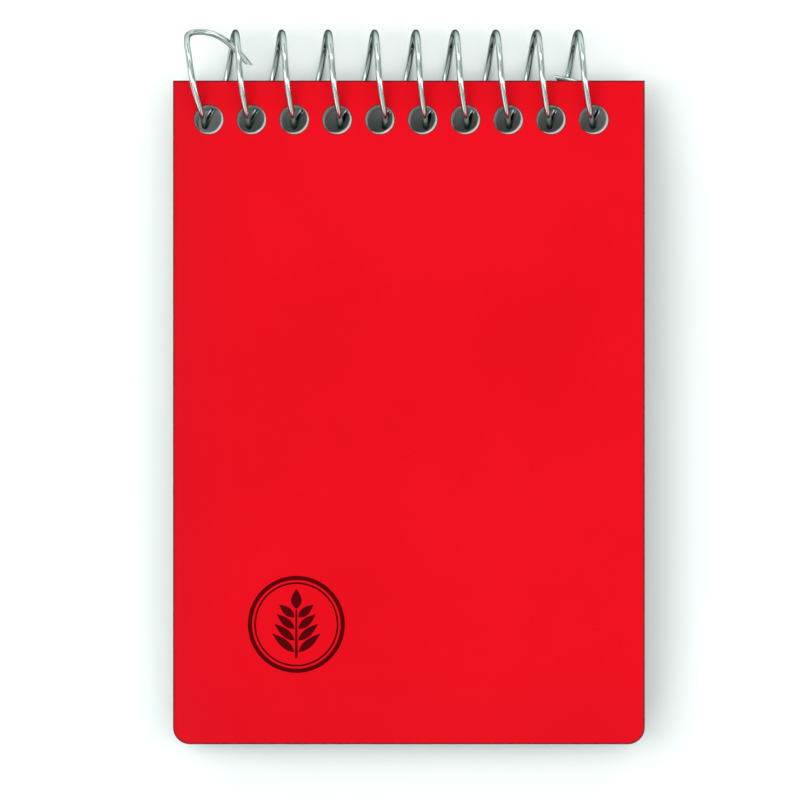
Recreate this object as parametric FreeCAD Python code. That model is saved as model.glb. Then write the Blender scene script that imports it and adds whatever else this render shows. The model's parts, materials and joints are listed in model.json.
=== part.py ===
import FreeCAD, Part
import math
import os

# Pocket notebook, bound along its top edge by one wire coil. Millimetres.
# It lies on its back: X runs across the sheets, +Y points at the coil, +Z out of the front cover.
# The origin is below the middle of the whole object, at the level of the coil's lowest point.

Vector = FreeCAD.Vector

# Sheets
sheet_width = 70.0
sheet_height = 98.5
corner_radius = 2.5
cover_thickness = 0.7
leaf_count = 50
leaf_thickness = 0.11
leaf_pitch = 0.15
cover_gap = 0.12

# Punched holes
hole_count = 10
hole_pitch = 6.35
hole_radius = 2.15
hole_to_left_edge = 5.3
hole_to_top_edge = 5.8

# Wire coil
wire_radius = 0.45
coil_radius = 7.0
coil_above_edge = 0.3
crown_step = 20.0

# How far the wire sits to the right of each hole's centre, where it is at its top (crown) and
# where it enters the front cover. The coil is slack in its holes, so its turns differ a little.
crown_leads = [-3.8, -2.5, -1.95, -1.4, -0.85, -1.05, -1.55, -1.85, -2.1, -2.3]
entry_leads = [-0.9, -0.65, -0.25, 0.35, 0.75, 0.3, 0.05, -0.1, -0.4, -0.45]
stack_lead = 0.7
most_exit_lead = 0.9
front_lean = 0.47
back_quarter_lead = 1.45

# Angles round the coil, from its crown over the front: where the wire enters and leaves the
# stack, where its round winding starts, and where the springy left end is split from the rest
entry_angle = 143.0
exit_angle = 217.0
round_start_angle = 40.0
end_split_angle = 120.0

# Left bent end: (right of the first hole, above the coil's axis, in front of it)
left_end_route = [
    (5.9, 2.2, -0.7),
    (4.6, 3.8, -0.5),
    (3.1, 5.25, -0.2),
    (1.2, 6.5, 0.2),
    (-0.9, 7.05, 0.7),
    (-2.75, 6.8, 1.9),
]

# Right bent end: (right of the last hole, above the coil's axis, in front of it)
right_end_route = [
    (0.75, -4.3, -5.35),
    (0.55, -2.9, -5.85),
    (-0.35, -1.5, -5.95),
    (-1.8, -0.5, -5.85),
    (-3.6, 0.05, -5.7),
    (-5.4, 0.35, -5.6),
]

axis_height = coil_radius + wire_radius
axis_y = (sheet_height + coil_above_edge - coil_radius - wire_radius) / 2
top_edge_y = axis_y - coil_above_edge
hole_y = top_edge_y - hole_to_top_edge
leaf_stack = leaf_pitch * (leaf_count - 1) + leaf_thickness
stack_half = leaf_stack / 2 + cover_gap + cover_thickness


def hole_x(turn):
    """Middle of a hole, counted from 0 at the left."""
    return hole_to_left_edge - sheet_width / 2 + hole_pitch * turn


def sheet(low_z, thickness):
    """One flat sheet with square top corners, rounded bottom corners and the punched holes."""
    left = -sheet_width / 2
    right = sheet_width / 2
    bottom = top_edge_y - sheet_height
    r = corner_radius
    corner_in = r * (1 - math.sqrt(0.5))
    edges = [
        Part.makeLine(Vector(left, top_edge_y, 0), Vector(right, top_edge_y, 0)),
        Part.makeLine(Vector(right, top_edge_y, 0), Vector(right, bottom + r, 0)),
        Part.Arc(
            Vector(right, bottom + r, 0),
            Vector(right - corner_in, bottom + corner_in, 0),
            Vector(right - r, bottom, 0),
        ).toShape(),
        Part.makeLine(Vector(right - r, bottom, 0), Vector(left + r, bottom, 0)),
        Part.Arc(
            Vector(left + r, bottom, 0),
            Vector(left + corner_in, bottom + corner_in, 0),
            Vector(left, bottom + r, 0),
        ).toShape(),
        Part.makeLine(Vector(left, bottom + r, 0), Vector(left, top_edge_y, 0)),
    ]
    outline = Part.Wire(edges)
    holes = []
    for turn in range(hole_count):
        centre = Vector(hole_x(turn), hole_y, 0)
        holes.append(Part.Wire([Part.makeCircle(hole_radius, centre)]))
    face = Part.makeFace([outline] + holes, "Part::FaceMakerBullseye")
    face.translate(Vector(0, 0, low_z))
    return face.extrude(Vector(0, 0, thickness))


def front_cover():
    return sheet(axis_height + stack_half - cover_thickness, cover_thickness)


def back_cover():
    return sheet(axis_height - stack_half, cover_thickness)


def leaf(number):
    """Leaf 1 lies under the front cover."""
    top_leaf_z = axis_height + leaf_stack / 2 - leaf_thickness
    return sheet(top_leaf_z - leaf_pitch * (number - 1), leaf_thickness)


def turn_stations(turn):
    """Angle and x of the wire at the stations of one turn, which ends before the next crown."""
    crown = crown_leads[turn]
    entry = entry_leads[turn]
    leave = min(entry + stack_lead, most_exit_lead)
    stations = [
        (0, crown),
        (90, crown + front_lean * (entry - crown)),
        (entry_angle, entry),
        (exit_angle, leave),
    ]
    if turn + 1 < hole_count:
        next_crown = crown_leads[turn + 1] + hole_pitch
        stations.append((270, next_crown - back_quarter_lead))
    return [(360 * turn + angle, hole_x(turn) + lead) for angle, lead in stations]


def smooth_x(stations, angle):
    """x of the wire at an angle: a smooth curve through the stations."""
    place = 1
    while place < len(stations) - 2 and stations[place + 1][0] < angle:
        place += 1
    a0, x0 = stations[place - 1]
    a1, x1 = stations[place]
    a2, x2 = stations[place + 1]
    a3, x3 = stations[min(place + 2, len(stations) - 1)]
    span = a2 - a1
    slope1 = (x2 - x0) / (a2 - a0) * span
    slope2 = (x3 - x1) / (a3 - a1) * span
    t = (angle - a1) / span
    fall = 2 * t**3 - 3 * t**2 + 1
    return (
        fall * x1
        + (t**3 - 2 * t**2 + t) * slope1
        + (1 - fall) * x2
        + (t**3 - t**2) * slope2
    )


def coil_points():
    """Points of the round winding, from the first front strand to the last hole."""
    stations = [(-90, hole_x(0) + crown_leads[0] - back_quarter_lead)]
    for turn in range(hole_count):
        stations += turn_stations(turn)
    last_angle = stations[-1][0]
    steps = round((last_angle - round_start_angle) / crown_step)
    points = []
    for step in range(steps + 1):
        angle = round_start_angle + (last_angle - round_start_angle) * step / steps
        turned = math.radians(angle)
        x = smooth_x(stations, angle)
        y = axis_y + coil_radius * math.cos(turned)
        z = axis_height + coil_radius * math.sin(turned)
        points.append(Vector(x, y, z))
    return points


def end_points(route, turn):
    return [Vector(hole_x(turn) + x, axis_y + y, axis_height + z) for x, y, z in route]


def tangents(points):
    """Unit direction at each point: that of the circle through it and its neighbours."""
    found = []
    for place, point in enumerate(points):
        before = points[max(place - 1, 0)]
        after = points[min(place + 1, len(points) - 1)]
        if place == 0 or place == len(points) - 1:
            found.append((after - before).normalize())
            continue
        first = point - before
        second = after - point
        direction = first * (second.Length / first.Length) + second * (first.Length / second.Length)
        found.append(direction.normalize())
    return found


def arc_from_legs(start, corner, end):
    """The round arc that leaves start towards corner and reaches end from it."""
    middle = (start + end) * 0.5
    leg = (corner - start).Length
    rise = (corner - middle).Length
    if rise < leg * 1e-3:
        return Part.makeLine(start, end)
    half_turn = math.asin(rise / leg)
    top = middle + (corner - middle) * (math.tan(half_turn / 2) / math.tan(half_turn))
    return Part.Arc(start, top, end).toShape()


def arc_pair(start, start_way, end, end_way):
    """Two tangent arcs that join two points in given directions."""
    across = end - start
    ways = start_way + end_way
    square = 4 - ways.dot(ways)
    linear = across.dot(ways)
    if square < 1e-9:
        leg = across.dot(across) / (2 * linear)
    else:
        leg = (math.sqrt(linear**2 + square * across.dot(across)) - linear) / square
    corner1 = start + start_way * leg
    corner2 = end - end_way * leg
    middle = (corner1 + corner2) * 0.5
    return [arc_from_legs(start, corner1, middle), arc_from_legs(middle, corner2, end)]


def round_wire(points, ways):
    """A solid round wire whose middle line runs through the points."""
    arcs = []
    for place in range(len(points) - 1):
        arcs += arc_pair(points[place], ways[place], points[place + 1], ways[place + 1])
    path = Part.Wire(arcs)
    section = Part.Face(Part.Wire([Part.makeCircle(wire_radius, points[0], ways[0])]))
    solid = path.makePipe(section)
    expected = math.pi * wire_radius**2 * path.Length
    print("wire", round(path.Length, 1), "mm, volume over expected", solid.Volume / expected)
    return solid


def wire_pieces():
    """The bent left end with the first front strand, and the rest of the same wire."""
    left = end_points(left_end_route, 0)
    points = left + coil_points() + end_points(right_end_route, hole_count - 1)
    ways = tangents(points)
    split = len(left) + round((end_split_angle - round_start_angle) / crown_step)
    left_end = round_wire(points[: split + 1], ways[: split + 1])
    coil = round_wire(points[split:], ways[split:])
    return left_end, coil


os.makedirs("parts", exist_ok=True)
front_cover().exportStep("parts/front_cover.step")
back_cover().exportStep("parts/back_cover.step")
for number in range(1, leaf_count + 1):
    leaf(number).exportStep(f"parts/leaf_{number:02d}.step")
coil_left_end, wire_coil = wire_pieces()
coil_left_end.exportStep("parts/coil_left_end.step")
wire_coil.exportStep("parts/wire_coil.step")
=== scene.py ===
import json
import math
import random

import bpy
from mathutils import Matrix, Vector
from mathutils.geometry import tessellate_polygon


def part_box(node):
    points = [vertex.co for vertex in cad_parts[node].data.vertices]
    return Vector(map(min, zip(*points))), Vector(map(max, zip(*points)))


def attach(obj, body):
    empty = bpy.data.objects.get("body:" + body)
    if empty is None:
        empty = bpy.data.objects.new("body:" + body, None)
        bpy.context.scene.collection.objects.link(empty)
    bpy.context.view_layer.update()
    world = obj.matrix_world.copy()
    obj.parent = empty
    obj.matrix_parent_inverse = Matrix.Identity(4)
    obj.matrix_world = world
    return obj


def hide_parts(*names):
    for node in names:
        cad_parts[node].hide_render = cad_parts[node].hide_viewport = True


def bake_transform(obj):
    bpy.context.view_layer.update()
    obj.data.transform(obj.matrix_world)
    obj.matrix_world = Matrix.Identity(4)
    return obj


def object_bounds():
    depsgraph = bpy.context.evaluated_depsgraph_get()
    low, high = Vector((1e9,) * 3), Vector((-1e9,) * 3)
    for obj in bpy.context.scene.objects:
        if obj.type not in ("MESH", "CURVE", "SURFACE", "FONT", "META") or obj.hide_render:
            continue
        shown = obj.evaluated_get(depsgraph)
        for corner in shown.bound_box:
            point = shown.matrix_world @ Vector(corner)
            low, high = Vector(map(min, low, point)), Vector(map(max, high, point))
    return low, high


# Pocket notebook, bound along its top edge by one wire coil. Metres, in the frame's own axes:
# X across the sheets, +Y towards the coil, +Z out of the front cover.

MM = 0.001

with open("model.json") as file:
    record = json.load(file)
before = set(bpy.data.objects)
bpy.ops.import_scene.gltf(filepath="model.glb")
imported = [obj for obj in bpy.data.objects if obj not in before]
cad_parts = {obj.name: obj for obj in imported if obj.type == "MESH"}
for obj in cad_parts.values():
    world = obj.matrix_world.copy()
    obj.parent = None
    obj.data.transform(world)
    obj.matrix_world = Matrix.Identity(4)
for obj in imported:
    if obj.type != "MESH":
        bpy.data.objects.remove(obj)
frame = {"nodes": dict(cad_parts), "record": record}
cad_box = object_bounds()

# Sheets
cover_low, cover_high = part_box("front_cover")
back_low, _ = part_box("back_cover")
left_x, bottom_y = cover_low.x, cover_low.y
right_x, top_y = cover_high.x, cover_high.y
corner_radius = 2.5 * MM
leaf_names = sorted(name for name in frame["nodes"] if name.startswith("leaf_"))

# Punched holes
hole_count = 10
hole_pitch = 6.35 * MM
hole_radius = 2.15 * MM
hole_to_left_edge = 5.3 * MM
hole_y = top_y - 5.8 * MM

# Wire coil
wire_radius = 0.45 * MM
coil_radius = 7.0 * MM
axis_y = top_y + 0.3 * MM
axis_z = (cover_high.z + back_low.z) / 2
crown_step = 20.0
crown_leads = [-3.8, -2.5, -1.95, -1.4, -0.85, -1.05, -1.55, -1.85, -2.1, -2.3]
entry_leads = [-0.9, -0.65, -0.25, 0.35, 0.75, 0.3, 0.05, -0.1, -0.4, -0.45]
stack_lead = 0.7
most_exit_lead = 0.9
front_lean = 0.47
back_quarter_lead = 1.45
entry_angle = 143.0
exit_angle = 217.0
round_start_angle = 40.0
end_split_angle = 120.0
left_end_route = [
    (5.9, 2.2, -0.7),
    (4.6, 3.8, -0.5),
    (3.1, 5.25, -0.2),
    (1.2, 6.5, 0.2),
    (-0.9, 7.05, 0.7),
    (-2.75, 6.8, 1.9),
]
right_end_route = [
    (0.75, -4.3, -5.35),
    (0.55, -2.9, -5.85),
    (-0.35, -1.5, -5.95),
    (-1.8, -0.5, -5.85),
    (-3.6, 0.05, -5.7),
    (-5.4, 0.35, -5.6),
]


# ---- Materials ----


class Nodes:
    """A short way to build one material's nodes."""

    def __init__(self, name):
        self.material = bpy.data.materials.new(name)
        self.material.use_nodes = True
        self.tree = self.material.node_tree
        self.shader = self.tree.nodes["Principled BSDF"]
        self.place = self.add("ShaderNodeTexCoord").outputs["Object"]

    def add(self, kind, **settings):
        node = self.tree.nodes.new(kind)
        for key, value in settings.items():
            setattr(node, key, value)
        return node

    def link(self, source, target):
        self.tree.links.new(source, target)

    def stretched(self, scale):
        """The place, scaled by a different amount along each axis."""
        mapping = self.add("ShaderNodeMapping")
        mapping.inputs["Scale"].default_value = scale
        self.link(self.place, mapping.inputs["Vector"])
        return mapping.outputs["Vector"]

    def noise(self, scale, detail, roughness=0.55, place=None):
        node = self.add("ShaderNodeTexNoise")
        node.inputs["Scale"].default_value = scale
        node.inputs["Detail"].default_value = detail
        node.inputs["Roughness"].default_value = roughness
        self.link(place or self.place, node.inputs["Vector"])
        return node.outputs["Fac"]

    def ramp(self, source, low, high, from_low=0.0, from_high=1.0):
        """source, with from_low..from_high taken smoothly to low..high."""
        node = self.add("ShaderNodeMapRange", interpolation_type="SMOOTHSTEP")
        node.inputs["From Min"].default_value = from_low
        node.inputs["From Max"].default_value = from_high
        node.inputs["To Min"].default_value = low
        node.inputs["To Max"].default_value = high
        self.link(source, node.inputs["Value"])
        return node.outputs["Result"]

    def math(self, operation, first, second):
        node = self.add("ShaderNodeMath", operation=operation)
        for socket, value in zip(node.inputs, (first, second)):
            if isinstance(value, (int, float)):
                socket.default_value = value
            else:
                self.link(value, socket)
        return node.outputs["Value"]

    def mix(self, factor, first, second):
        """A colour between two colours."""
        node = self.add("ShaderNodeMix", data_type="RGBA")
        self.link(factor, node.inputs["Factor"])
        for socket, value in ((node.inputs[6], first), (node.inputs[7], second)):
            if isinstance(value, tuple):
                socket.default_value = (*value, 1.0)
            else:
                self.link(value, socket)
        return node.outputs[2]

    def bump(self, height, distance, strength, under=None):
        node = self.add("ShaderNodeBump")
        node.inputs["Distance"].default_value = distance
        node.inputs["Strength"].default_value = strength
        self.link(height, node.inputs["Height"])
        if under:
            self.link(under, node.inputs["Normal"])
        return node.outputs["Normal"]

    def finish(self, colour, roughness, normal, **numbers):
        """The material. numbers are the shader's other sockets, with _ for each space."""
        for socket, source in (("Base Color", colour), ("Roughness", roughness), ("Normal", normal)):
            self.link(source, self.shader.inputs[socket])
        for socket, value in numbers.items():
            self.shader.inputs[socket.replace("_", " ")].default_value = value
        return self.material


def red_cover_material():
    """Film-laminated card: fine grain, flecks, light scuffs, and painted shade a little darker
    towards the left and bottom edges.
    """
    red_low, red_high = (0.695, 0.0016, 0.0082), (0.735, 0.0022, 0.0095)
    fleck_red, painted_shade_red, scuff_red = (0.50, 0.003, 0.008), (0.42, 0.008, 0.02), (0.80, 0.06, 0.07)
    painted_shade_width = 14 * MM
    n = Nodes("red_laminated_card")
    clouds = n.noise(30.0, 3.0)
    flecks = n.noise(1900.0, 2.0)
    red = n.mix(n.ramp(clouds, 0.0, 1.0, 0.3, 0.7), red_low, red_high)
    red = n.mix(n.ramp(flecks, 0.0, 0.14, 0.55, 0.75), red, fleck_red)
    axes = n.add("ShaderNodeSeparateXYZ")
    n.link(n.place, axes.inputs["Vector"])
    # Painted shade: the red is darkened towards the left and bottom edges.
    shade_near_left = n.ramp(axes.outputs["X"], 0.16, 0.0, left_x, left_x + painted_shade_width)
    shade_near_bottom = n.ramp(axes.outputs["Y"], 0.12, 0.0, bottom_y, bottom_y + painted_shade_width)
    red = n.mix(n.math("ADD", shade_near_left, shade_near_bottom), red, painted_shade_red)
    scuff_lines = n.noise(160.0, 5.0, 0.7, n.stretched((1.0, 0.07, 1.0)))
    scuffs = n.ramp(scuff_lines, 0.0, 1.0, 0.68, 0.76)
    red = n.mix(n.math("MULTIPLY", scuffs, 0.06), red, scuff_red)
    rough = n.math("ADD", n.ramp(clouds, 0.40, 0.48, 0.3, 0.7), n.math("MULTIPLY", scuffs, 0.08))
    grain = n.bump(n.noise(2600.0, 2.0), 0.02 * MM, 0.35)
    sag = n.bump(n.noise(28.0, 1.0), 0.6 * MM, 0.05, grain)
    return n.finish(red, rough, sag, Specular_IOR_Level=0.04)


def cut_edge_shade_material():
    """The fuzzy edge where the card was cut and punched; its dark colour is painted shade, with a
    little wear.
    """
    # Painted shade: the cut edges are coloured far darker than the card.
    dark_low, dark_high, worn_red = (0.16, 0.004, 0.007), (0.29, 0.007, 0.011), (0.50, 0.02, 0.03)
    n = Nodes("cut_edge_painted_shade")
    fuzz = n.noise(2200.0, 4.0, 0.7)
    wear = n.noise(260.0, 3.0)
    dark = n.mix(n.ramp(fuzz, 0.0, 1.0, 0.35, 0.65), dark_low, dark_high)
    dark = n.mix(n.ramp(wear, 0.0, 0.5, 0.62, 0.78), dark, worn_red)
    rough = n.ramp(fuzz, 0.55, 0.8)
    return n.finish(dark, rough, n.bump(fuzz, 0.03 * MM, 0.6), Specular_IOR_Level=0.15)


def board_material():
    """Stiff dark grey board made of pressed fibres."""
    grey_low, grey_high = (0.040, 0.050, 0.047), (0.062, 0.074, 0.069)
    pale_fibre, dark_fibre = (0.13, 0.145, 0.135), (0.020, 0.026, 0.024)
    n = Nodes("dark_grey_board")
    fibres = n.noise(1500.0, 6.0, 0.75, n.stretched((1.0, 0.4, 1.0)))
    clouds = n.noise(90.0, 4.0, 0.6)
    grey = n.mix(n.ramp(clouds, 0.0, 1.0, 0.3, 0.7), grey_low, grey_high)
    grey = n.mix(n.ramp(fibres, 0.0, 0.5, 0.58, 0.74), grey, pale_fibre)
    grey = n.mix(n.ramp(fibres, 0.5, 0.0, 0.26, 0.40), grey, dark_fibre)
    rough = n.ramp(clouds, 0.72, 0.9)
    return n.finish(grey, rough, n.bump(fibres, 0.04 * MM, 0.6), Specular_IOR_Level=0.25)


def print_material():
    """Dark red printing ink, a little worn."""
    ink, worn_ink = (0.080, 0.0004, 0.002), (0.15, 0.001, 0.004)
    n = Nodes("dark_red_print")
    wear = n.noise(900.0, 5.0, 0.65)
    colour = n.mix(n.ramp(wear, 0.0, 1.0, 0.60, 0.72), ink, worn_ink)
    rough = n.ramp(wear, 0.40, 0.58, 0.3, 0.7)
    return n.finish(colour, rough, n.bump(wear, 0.01 * MM, 0.4), Specular_IOR_Level=0.02)


def paper_material():
    """Uncoated paper with fibres and faint ruled lines below the holes."""
    pale_low, pale_high = (0.71, 0.73, 0.70), (0.77, 0.79, 0.76)
    fibre_grey, line_blue = (0.58, 0.61, 0.57), (0.16, 0.29, 0.44)
    first_line = hole_y - 10.0 * MM
    line_pitch = 6.5 * MM
    ruled_height = 12.4 * line_pitch
    line_core, line_edge = 0.07 * MM, 0.13 * MM
    n = Nodes("ruled_paper")
    fibres = n.noise(2400.0, 5.0, 0.7, n.stretched((1.0, 0.35, 1.0)))
    clouds = n.noise(120.0, 3.0)
    colour = n.mix(n.ramp(clouds, 0.0, 1.0, 0.3, 0.7), pale_low, pale_high)
    colour = n.mix(n.ramp(fibres, 0.0, 0.35, 0.60, 0.80), colour, fibre_grey)
    axes = n.add("ShaderNodeSeparateXYZ")
    n.link(n.place, axes.inputs["Vector"])
    down = n.math("SUBTRACT", first_line, axes.outputs["Y"])
    off_line = n.math("PINGPONG", down, line_pitch / 2)
    line = n.ramp(off_line, 1.0, 0.0, line_core, line_edge)
    below_head = n.math("GREATER_THAN", down, -0.3 * MM)
    above_foot = n.math("LESS_THAN", down, ruled_height)
    ruled = n.math("MULTIPLY", n.math("MULTIPLY", line, below_head), above_foot)
    broken = n.ramp(n.noise(3000.0, 3.0), 0.35, 0.62, 0.3, 0.6)
    colour = n.mix(n.math("MULTIPLY", ruled, broken), colour, line_blue)
    rough = n.ramp(fibres, 0.78, 0.92)
    return n.finish(colour, rough, n.bump(fibres, 0.02 * MM, 0.5), Specular_IOR_Level=0.2)


def wire_material():
    """Bright nickel-plated steel wire with drawing lines along it, and painted shade as dark
    outlines along its sides.
    """
    nickel_low, nickel_high, dull_nickel = (0.46, 0.52, 0.50), (0.62, 0.68, 0.65), (0.27, 0.32, 0.30)
    # Painted shade: the near-black edge tint gives the wire dark outlines along its sides.
    painted_outline_tint = (0.05, 0.08, 0.07, 1.0)
    streak_length = 0.04
    n = Nodes("nickel_wire")
    along = n.add("ShaderNodeSeparateXYZ")
    n.link(n.add("ShaderNodeUVMap", uv_map="along").outputs["UV"], along.inputs["Vector"])
    round_wire = n.math("MULTIPLY", along.outputs["X"], 2 * math.pi)
    drawn = n.add("ShaderNodeCombineXYZ")
    n.link(n.math("COSINE", round_wire, 0.0), drawn.inputs["X"])
    n.link(n.math("SINE", round_wire, 0.0), drawn.inputs["Y"])
    n.link(n.math("MULTIPLY", along.outputs["Y"], streak_length), drawn.inputs["Z"])
    streaks = n.noise(7.0, 4.0, 0.6, drawn.outputs["Vector"])
    clouds = n.noise(500.0, 3.0)
    colour = n.mix(n.ramp(streaks, 0.0, 1.0, 0.35, 0.65), nickel_low, nickel_high)
    colour = n.mix(n.ramp(clouds, 0.0, 0.5, 0.62, 0.75), colour, dull_nickel)
    rough = n.math("ADD", n.ramp(streaks, 0.07, 0.13), n.ramp(clouds, 0.0, 0.08, 0.4, 0.7))
    drawing_lines = n.bump(streaks, 0.02 * MM, 0.3)
    return n.finish(colour, rough, drawing_lines, Metallic=1.0, Specular_Tint=painted_outline_tint)


def floor_material():
    """Pale, slightly uneven painted table."""
    pale_low, pale_high = (0.93, 0.94, 0.94), (0.96, 0.97, 0.97)
    n = Nodes("pale_floor")
    clouds = n.noise(9.0, 3.0)
    grain = n.noise(600.0, 3.0)
    tone = n.mix(n.ramp(clouds, 0.0, 1.0, 0.3, 0.7), pale_low, pale_high)
    return n.finish(tone, n.ramp(grain, 0.62, 0.78), n.bump(grain, 0.03 * MM, 0.3))


# ---- Shapes ----


def hole_x(turn):
    """Middle of a hole, counted from 0 at the left."""
    return left_x + hole_to_left_edge + hole_pitch * turn


def outline_ring(inset, height):
    """The sheet's edge: square top corners, rounded bottom corners, moved in by inset."""
    radius = corner_radius - inset
    steps = 10
    ring = [Vector((left_x + inset, top_y - inset, height))]
    for centre_x, first in ((left_x + corner_radius, 180), (right_x - corner_radius, 270)):
        for step in range(steps + 1):
            turned = math.radians(first + 90 * step / steps)
            across = centre_x + radius * math.cos(turned)
            down = bottom_y + corner_radius + radius * math.sin(turned)
            ring.append(Vector((across, down, height)))
    ring.append(Vector((right_x - inset, top_y - inset, height)))
    return ring


def hole_ring(turn, inset, height):
    """A punched hole's edge, made wider by inset."""
    steps = 40
    radius = hole_radius + inset
    ring = []
    for step in range(steps):
        turned = -2 * math.pi * step / steps
        across = hole_x(turn) + radius * math.cos(turned)
        ring.append(Vector((across, hole_y + radius * math.sin(turned), height)))
    return ring


def edge_ring(turn, inset, height):
    """The edge of a hole or, where turn is None, of the sheet."""
    return outline_ring(inset, height) if turn is None else hole_ring(turn, inset, height)


def new_piece(name, points, faces, material, body):
    mesh = bpy.data.meshes.new(name)
    mesh.from_pydata(points, [], faces)
    mesh.materials.append(material)
    piece = bpy.data.objects.new(name, mesh)
    bpy.context.scene.collection.objects.link(piece)
    if body:
        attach(piece, body)
    return piece


def sheet_piece(
    name, edge_profile, hole_profile, materials, body, shift=(0.0, 0.0), punch=(0.0, 0.0)
):
    """A punched sheet. Each profile runs from the top face over the edge to the bottom face as
    (inset, height). materials are those of the flat faces and of the cut edges. shift sets the
    outline askew and punch the holes."""
    points, faces, loops = [], [], []
    edges = [(None, edge_profile, shift)]
    edges += [(turn, hole_profile, punch) for turn in range(hole_count)]
    for turn, profile, (across, up) in edges:
        askew = Vector((across, up, 0.0))
        rings = []
        for inset, height in profile:
            ring = [point + askew for point in edge_ring(turn, inset, height)]
            rings.append(range(len(points), len(points) + len(ring)))
            points += ring
        for upper, lower in zip(rings, rings[1:]):
            for place in range(len(upper)):
                after = (place + 1) % len(upper)
                faces.append((upper[place], lower[place], lower[after], upper[after]))
        loops.append((rings[0], rings[-1]))
    edge_count = len(faces)
    top = [index for upper, _ in loops for index in upper]
    bottom = [index for _, lower in loops for index in lower]
    flat = [[points[index] for index in upper] for upper, _ in loops]
    for a, b, c in tessellate_polygon(flat):
        faces_up = (points[top[b]] - points[top[a]]).cross(points[top[c]] - points[top[a]]).z > 0
        if not faces_up:
            b, c = c, b
        faces.append((top[a], top[b], top[c]))
        faces.append((bottom[a], bottom[c], bottom[b]))
    piece = new_piece(name, points, faces, materials[0], body)
    piece.data.materials.append(materials[1])
    for face in piece.data.polygons[:edge_count]:
        face.material_index = 1
    return piece


def rounded_profile(low_z, high_z, round_off, dark_rim, rise=0.0):
    """Insets and heights over an edge that is rounded off above and below. It starts and ends on
    the flat faces, dark_rim in from the edge, and stands out of them by rise."""
    steps = 4
    profile = [(dark_rim, high_z)]
    for step in range(steps + 1):
        turned = math.pi / 2 * step / steps
        inset = round_off * (1 - math.sin(turned))
        profile.append((inset, high_z + rise - round_off * (1 - math.cos(turned))))
    for step in range(steps + 1):
        turned = math.pi / 2 * (1 - step / steps)
        inset = round_off * (1 - math.sin(turned))
        profile.append((inset, low_z - rise + round_off * (1 - math.cos(turned))))
    profile.append((dark_rim, low_z))
    return profile


def cover_piece(name, node, body, materials):
    low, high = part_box(node)
    # Painted shade: the dark edge material covers the rounded edges and a band 0.26 mm wide (0.13 mm
    # at the holes) on the flat faces.
    edge = rounded_profile(low.z, high.z, 0.14 * MM, 0.26 * MM)
    rim = rounded_profile(low.z, high.z, 0.06 * MM, 0.13 * MM, 0.015 * MM)
    piece = sheet_piece(name, edge, rim, materials, body)
    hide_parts(node)


def punch_drift(number):
    """How far a leaf's holes are off: the punch drifts up and left in the upper leaves, then the
    other way in the lower ones."""
    upper_leaves, first_lower, lower_leaves = 15, 12, 38
    upper = math.sin(math.pi * min(number / upper_leaves, 1.0))
    lower = max(0.0, (number - first_lower) / lower_leaves) ** 0.8
    return Vector((0.46 * lower - 0.24 * upper, 0.25 * upper - 0.40 * lower)) * MM


def leaf_piece(node, body, material, chance):
    """One leaf, a hair smaller than the covers and a hair askew in the stack."""
    low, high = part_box(node)
    soft = 0.01 * MM
    play = 0.05
    rim = [(soft, high.z), (0.0, high.z - soft), (0.0, low.z + soft), (soft, low.z)]
    trim = chance.uniform(0.06, 0.12) * MM
    edge = [(trim + inset, height) for inset, height in rim]
    shift = (chance.uniform(-play, play) * MM, chance.uniform(-play, play) * MM)
    drift = punch_drift(int(node[-2:]))
    across = drift.x + chance.uniform(-play, play) * MM
    up = drift.y + chance.uniform(-play, play) * MM
    piece = sheet_piece(node + "_sheet", edge, rim, (material, material), body, shift, (across, up))
    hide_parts(node)


# ---- Wire ----


def turn_stations(turn):
    """Angle and x of the wire at the stations of one turn, which ends before the next crown."""
    crown = crown_leads[turn]
    entry = entry_leads[turn]
    leave = min(entry + stack_lead, most_exit_lead)
    stations = [
        (0, crown),
        (90, crown + front_lean * (entry - crown)),
        (entry_angle, entry),
        (exit_angle, leave),
    ]
    if turn + 1 < hole_count:
        next_crown = crown_leads[turn + 1] + hole_pitch / MM
        stations.append((270, next_crown - back_quarter_lead))
    return [(360 * turn + angle, hole_x(turn) + lead * MM) for angle, lead in stations]


def smooth_x(stations, angle):
    """x of the wire at an angle: a smooth curve through the stations."""
    place = 1
    while place < len(stations) - 2 and stations[place + 1][0] < angle:
        place += 1
    a0, x0 = stations[place - 1]
    a1, x1 = stations[place]
    a2, x2 = stations[place + 1]
    a3, x3 = stations[min(place + 2, len(stations) - 1)]
    span = a2 - a1
    slope1 = (x2 - x0) / (a2 - a0) * span
    slope2 = (x3 - x1) / (a3 - a1) * span
    return curve_between(x1, x2, slope1, slope2, (angle - a1) / span)


def curve_between(start, end, start_way, end_way, t):
    """The place t, from 0 to 1, on the smooth curve that leaves and arrives in the given ways."""
    fall = 2 * t**3 - 3 * t**2 + 1
    first = start * fall + start_way * (t**3 - 2 * t**2 + t)
    return first + end * (1 - fall) + end_way * (t**3 - t**2)


def coil_points():
    """Points of the round winding, from the first front strand to the last hole."""
    stations = [(-90, hole_x(0) + (crown_leads[0] - back_quarter_lead) * MM)]
    for turn in range(hole_count):
        stations += turn_stations(turn)
    last_angle = stations[-1][0]
    steps = round((last_angle - round_start_angle) / crown_step)
    points = []
    for step in range(steps + 1):
        angle = round_start_angle + (last_angle - round_start_angle) * step / steps
        turned = math.radians(angle)
        y = axis_y + coil_radius * math.cos(turned)
        z = axis_z + coil_radius * math.sin(turned)
        points.append(Vector((smooth_x(stations, angle), y, z)))
    return points


def end_points(route, turn):
    """The points of a bent end, given from a hole's middle and the coil's axis."""
    start = Vector((hole_x(turn), axis_y, axis_z))
    return [start + Vector(step) * MM for step in route]


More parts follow.
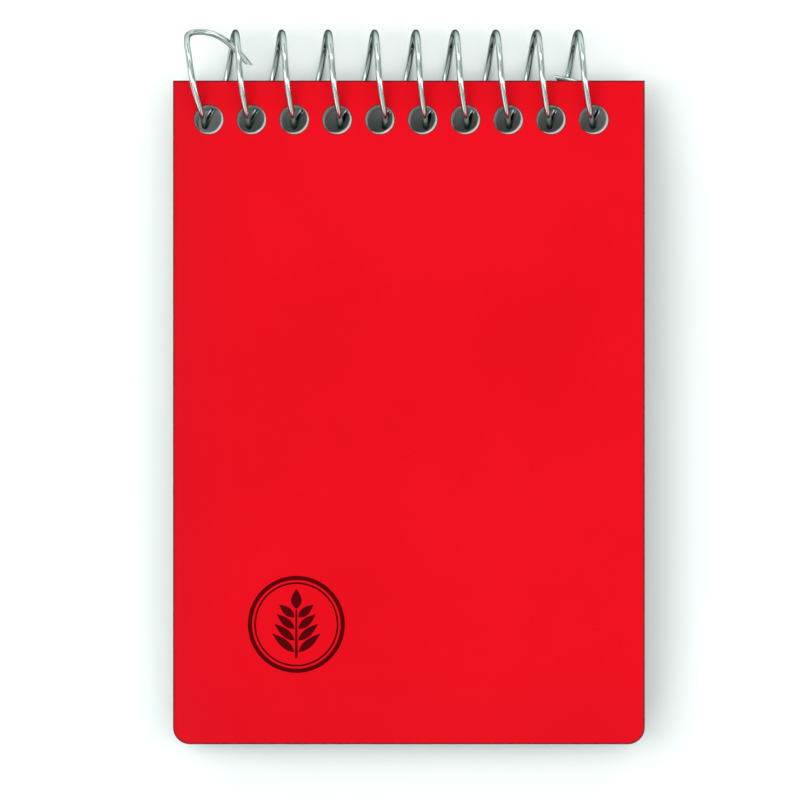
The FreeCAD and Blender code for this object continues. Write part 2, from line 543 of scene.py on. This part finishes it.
def tangents(points):
    """Unit direction at each point: that of the circle through it and its neighbours."""
    found = []
    for place, point in enumerate(points):
        before = points[max(place - 1, 0)]
        after = points[min(place + 1, len(points) - 1)]
        if place == 0 or place == len(points) - 1:
            found.append((after - before).normalized())
            continue
        first = point - before
        second = after - point
        way = first * (second.length / first.length) + second * (first.length / second.length)
        found.append(way.normalized())
    return found


def smooth_path(points, ways):
    """Many points, and the direction at each, on a smooth line through a few."""
    per_span = 5
    path = [points[0]]
    for place in range(len(points) - 1):
        start, end = points[place], points[place + 1]
        reach = (end - start).length
        for step in range(1, per_span + 1):
            t = step / per_span
            path.append(curve_between(start, end, ways[place] * reach, ways[place + 1] * reach, t))
    return path, tangents(path)


def carried_side(side, way):
    """side, turned as little as possible to be square to way."""
    return (side - way * side.dot(way)).normalized()


def wire_piece(name, path, ways, start_side, start_cut, end_cut, material, body):
    """A round wire along a path. A cut is 0 for a square end or the slope of a snipped one. The
    end faces have points of their own, so that the wire's shading doesn't run over them.
    Returns the piece and the side direction at its end."""
    sides = 28
    points, faces, along = [], [], []
    side = start_side
    length = 0.0
    last = len(path) - 1
    for place, (point, way) in enumerate(zip(path, ways)):
        side = carried_side(side, way)
        other = way.cross(side)
        if place:
            length += (point - path[place - 1]).length
        cut = start_cut if place == 0 else end_cut if place == last else 0.0
        for corner in range(sides):
            turned = 2 * math.pi * corner / sides
            out = side * math.cos(turned) + other * math.sin(turned)
            slope = way * (cut * wire_radius * math.cos(turned))
            points.append(point + out * wire_radius + slope)
            along.append((corner / sides, length / (2 * math.pi * wire_radius)))
    for place in range(last):
        for corner in range(sides):
            after = (corner + 1) % sides
            low, high = place * sides, (place + 1) * sides
            faces.append((low + corner, low + after, high + after, high + corner))
    for first, order in ((0, reversed(range(sides))), (last * sides, range(sides))):
        base = len(points)
        points += points[first : first + sides]
        along += along[first : first + sides]
        faces.append(tuple(base + corner for corner in order))
    piece = new_piece(name, points, faces, material, body)
    for face in piece.data.polygons:
        face.use_smooth = len(face.vertices) == 4
    layer = piece.data.uv_layers.new(name="along")
    for face in piece.data.polygons:
        seam = any(along[v][0] > 0.9 for v in face.vertices)
        for loop in face.loop_indices:
            u, v = along[piece.data.loops[loop].vertex_index]
            layer.data[loop].uv = (u + 1.0 if seam and u < 0.1 else u, v)
    return piece, side


def make_wire(material):
    """The springy left end with the first front strand, and the rest of the same wire."""
    left = end_points(left_end_route, 0)
    points = left + coil_points() + end_points(right_end_route, hole_count - 1)
    ways = tangents(points)
    split = len(left) + round((end_split_angle - round_start_angle) / crown_step)
    square, left_cut, right_cut = 0.0, -1.1, 0.9
    tip_side = Vector((0.8, 0.6, 0.0))
    path, path_ways = smooth_path(points[: split + 1], ways[: split + 1])
    path_ways[-1] = ways[split]
    end, side = wire_piece(
        "coil_left_strand", path, path_ways, tip_side, left_cut, square, material, None
    )
    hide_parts("coil_left_end")
    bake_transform(end)
    path, path_ways = smooth_path(points[split:], ways[split:])
    path_ways[0] = ways[split]
    coil, _ = wire_piece("coil_wire", path, path_ways, side, square, right_cut, material, "pad")
    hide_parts("wire_coil")


# ---- Printed ornament ----


def ornament_piece(material):
    """A small printed ornament low on the front cover: a plain sprig of leaves in a double ring."""
    points, faces = [], []
    centre = Vector((left_x + 18.3 * MM, bottom_y + 17.8 * MM))
    low, high = cover_high.z - 0.01 * MM, cover_high.z + 0.02 * MM
    stem_low, stem_high = centre.y - 5.0 * MM, centre.y + 2.2 * MM
    stem_half = 0.2 * MM
    leaf_pairs = 4
    pair_pitch = 1.72
    ring_segments = 72

    def stamp(outline):
        """One raised patch of ink."""
        base = len(points)
        count = len(outline)
        points.extend(Vector((p.x, p.y, high)) for p in outline)
        points.extend(Vector((p.x, p.y, low)) for p in outline)
        faces.append(tuple(range(base, base + count)))
        faces.append(tuple(reversed(range(base + count, base + 2 * count))))
        for place in range(count):
            after = (place + 1) % count
            faces.append((base + place, base + count + place, base + count + after, base + after))

    def leaf_shape(start, direction, length, half_width):
        """A pointed leaf from its foot, widest a little before its middle."""
        ahead = Vector((math.cos(direction), math.sin(direction)))
        aside = Vector((-ahead.y, ahead.x))
        steps = 12
        edge = []
        for side, order in ((1, range(steps + 1)), (-1, range(steps - 1, 0, -1))):
            for step in order:
                t = step / steps
                bulge = side * half_width * math.sin(math.pi * t**0.8)
                edge.append(start + ahead * (length * t) + aside * bulge)
        edge.reverse()
        stamp(edge)

    stamp([
        Vector((centre.x - stem_half, stem_low)),
        Vector((centre.x + stem_half, stem_low)),
        Vector((centre.x + stem_half * 0.6, stem_high)),
        Vector((centre.x - stem_half * 0.6, stem_high)),
    ])
    leaf_shape(Vector((centre.x, stem_high + 0.1 * MM)), math.pi / 2, 3.0 * MM, 0.78 * MM)
    for pair in range(leaf_pairs):
        height = stem_low + (0.9 + pair_pitch * pair) * MM
        length = (4.3 - 0.45 * pair) * MM
        for side, lean in ((1, 40), (-1, 140)):
            start = Vector((centre.x + side * 0.3 * MM, height))
            leaf_shape(start, math.radians(lean), length, 0.6 * MM)
    for outer, width in ((7.2 * MM, 0.62 * MM), (6.25 * MM, 0.26 * MM)):
        inner = outer - width
        for step in range(ring_segments):
            first = 2 * math.pi * step / ring_segments
            second = 2 * math.pi * (step + 1) / ring_segments
            corners = ((inner, first), (outer, first), (outer, second), (inner, second))
            stamp([centre + Vector((r * math.cos(a), r * math.sin(a))) for r, a in corners])
    piece = new_piece("cover_ornament", points, faces, material, "front_cover")


# ---- The object ----


def body_of_node(node):
    for body, nodes in frame["record"]["behaviour"]["bodies"].items():
        if node in nodes:
            return body
    raise ValueError(node)


def make_object():
    card = (red_cover_material(), cut_edge_shade_material())
    paper = paper_material()
    board = board_material()
    cover_piece("front_cover_sheet", "front_cover", "front_cover", card)
    cover_piece("back_cover_sheet", "back_cover", "pad", (board, board))
    chance = random.Random(7)
    for node in leaf_names:
        leaf_piece(node, body_of_node(node), paper, chance)
    make_wire(wire_material())
    ornament_piece(print_material())


# ---- Studio ----


def make_floor():
    """A floor just under the coil's lowest point."""
    half = 3.0
    corners = [(-half, -half, 0), (half, -half, 0), (half, half, 0), (-half, half, 0)]
    floor = new_piece("floor", corners, [(0, 1, 2, 3)], floor_material(), None)
    floor.location.z = cad_box[0].z - 0.05 * MM


def area_light(name, place, size, power):
    """A rectangular light that faces the object's middle."""
    light = bpy.data.lights.new(name, "AREA")
    light.shape = "RECTANGLE"
    light.size, light.size_y = size
    light.energy = power
    lamp = bpy.data.objects.new(name, light)
    bpy.context.scene.collection.objects.link(lamp)
    lamp.location = place
    lamp.rotation_euler = (-Vector(place)).to_track_quat("-Z", "Y").to_euler()


def make_sky():
    """A pale sky with one long soft strip on each side, both along Y."""
    # Each strip's edges: (place from left to right, brightness)
    strips = [
        (0.14, 0.27), (0.18, 1.0), (0.38, 1.0), (0.42, 0.19),
        (0.58, 0.19), (0.62, 0.72), (0.76, 0.72), (0.80, 0.27),
    ]
    horizon_colour = (0.25, 0.27, 0.265, 1.0)
    world = bpy.data.worlds.new("studio")
    bpy.context.scene.world = world
    world.use_nodes = True
    tree = world.node_tree
    background = tree.nodes["Background"]
    background.inputs["Strength"].default_value = 1.7
    place = tree.nodes.new("ShaderNodeTexCoord")
    axes = tree.nodes.new("ShaderNodeSeparateXYZ")
    across = tree.nodes.new("ShaderNodeMapRange")
    across.inputs["From Min"].default_value = -1.0
    sky = tree.nodes.new("ShaderNodeValToRGB")
    for place_across, bright in strips:
        band = sky.color_ramp.elements.new(place_across)
        band.color = (0.93 * bright, bright, 0.98 * bright, 1.0)
    for end in (sky.color_ramp.elements[0], sky.color_ramp.elements[-1]):
        end.color = horizon_colour
    tree.links.new(place.outputs["Generated"], axes.inputs["Vector"])
    tree.links.new(axes.outputs["X"], across.inputs["Value"])
    tree.links.new(across.outputs["Result"], sky.inputs["Fac"])
    tree.links.new(sky.outputs["Color"], background.inputs["Color"])


def make_lights():
    """Soft lights to the left, to the right and behind the coil."""
    area_light("left_strip", (-0.62, 0.04, 0.66), (0.34, 1.3), 2.4)
    area_light("right_strip", (0.66, 0.0, 0.58), (0.22, 1.3), 1.8)
    area_light("back_strip", (0.0, 0.72, 0.50), (1.0, 0.22), 1.2)
    view = bpy.context.scene.view_settings
    view.view_transform = "Standard"
    view.look = "None"


def make_camera():
    """Straight above the front cover, as the object is usually shown."""
    data = bpy.data.cameras.new("camera")
    camera = bpy.data.objects.new("camera", data)
    bpy.context.scene.collection.objects.link(camera)
    bpy.context.scene.camera = camera
    distance = 1.5
    seen_width = 118.7 * MM
    off_centre_x, off_centre_y = -1.32 * MM, 1.84 * MM
    data.sensor_width = 36.0
    data.lens = data.sensor_width * distance / seen_width
    middle_x = (left_x + right_x) / 2 + off_centre_x
    middle_y = (bottom_y + top_y) / 2 + off_centre_y
    camera.location = (middle_x, middle_y, cover_high.z + distance)
    data.clip_start = 0.01


make_object()
make_floor()
make_sky()
make_lights()
make_camera()
